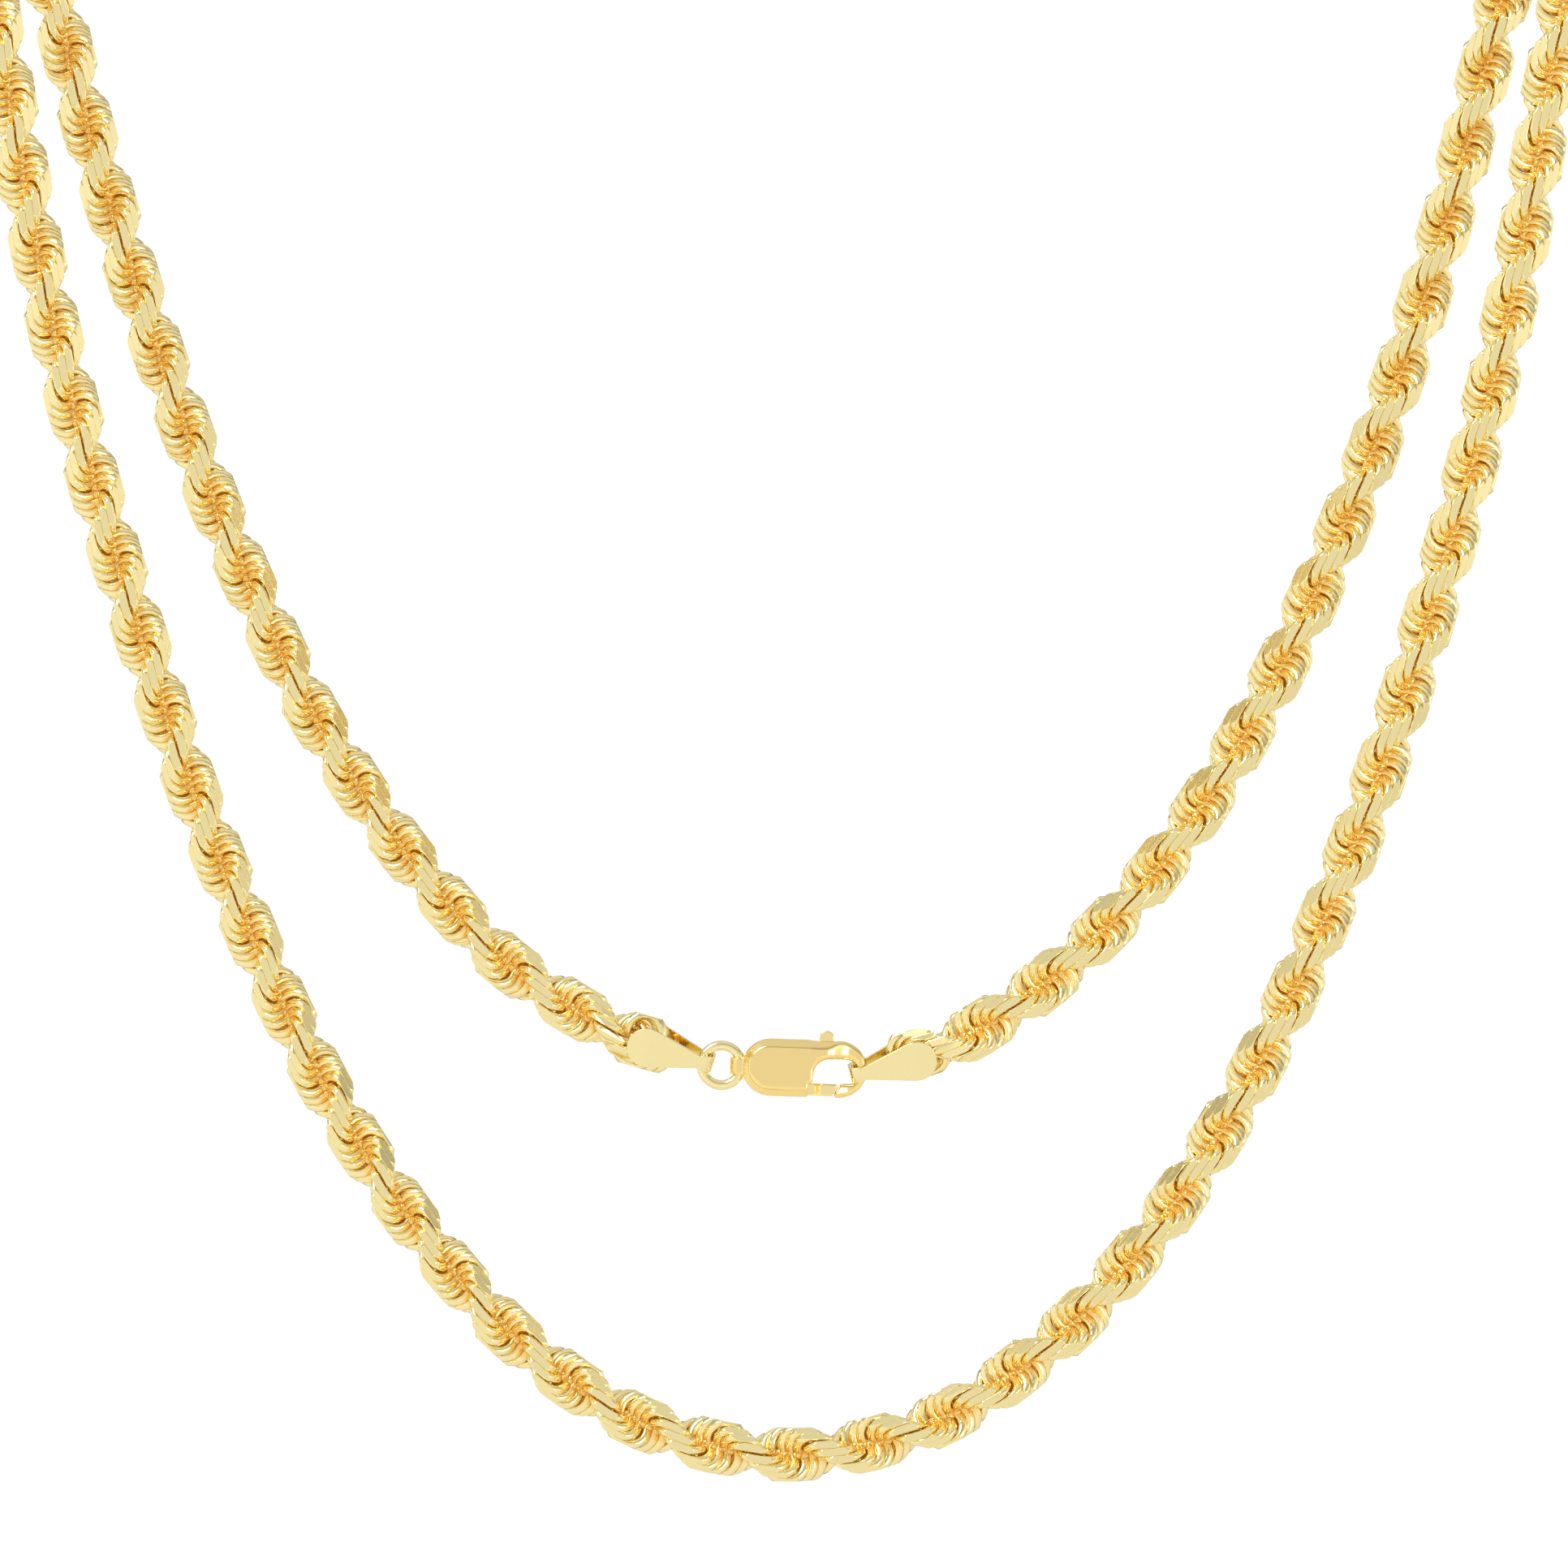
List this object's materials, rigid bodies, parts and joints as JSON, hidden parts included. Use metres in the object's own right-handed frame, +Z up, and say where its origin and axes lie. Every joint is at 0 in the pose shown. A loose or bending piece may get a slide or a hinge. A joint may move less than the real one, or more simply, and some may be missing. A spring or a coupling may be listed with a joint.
{
  "type": "rope chain necklace",
  "caption": "Twisted rope-chain necklace hung doubled, with folded end caps, a jump ring and a lever clasp that closes the loop.",
  "frame": {"origin": "midway between the undersides of the two crowns where the chain turns over its holders, which is where the necklace hangs", "axes": "+Z up, +X to the right across the spread of the hung loops, +Y from the front loop towards the rear loop that carries the clasp"},
  "size_m": [0.113, 0.01, 0.1083],
  "materials": {
    "chain_gold": "diamond-cut yellow gold with polished flats",
    "cap_gold": "polished yellow gold sheet",
    "ring_gold": "polished yellow gold wire",
    "clasp_gold": "polished yellow gold casting",
    "lever_gold": "polished yellow gold"
  },
  "bodies": {
    "necklace": {"rope_chain": "chain_gold", "end_cap_left": "cap_gold", "end_cap_right": "cap_gold", "jump_ring": "ring_gold", "clasp_body": "clasp_gold", "lever_pin": "lever_gold"},
    "lever": {"clasp_lever": "lever_gold"}
  },
  "joints": [
    {"name": "lever_hinge", "type": "hinge", "parent": "necklace", "child": "lever", "pos_m": [0.00146, 0.0031, -0.07689], "axis": [0, -1, 0], "range_deg": [0, 25], "stiffness_Nm_per_rad": 0.002, "springref_deg": -17.19}
  ]
}
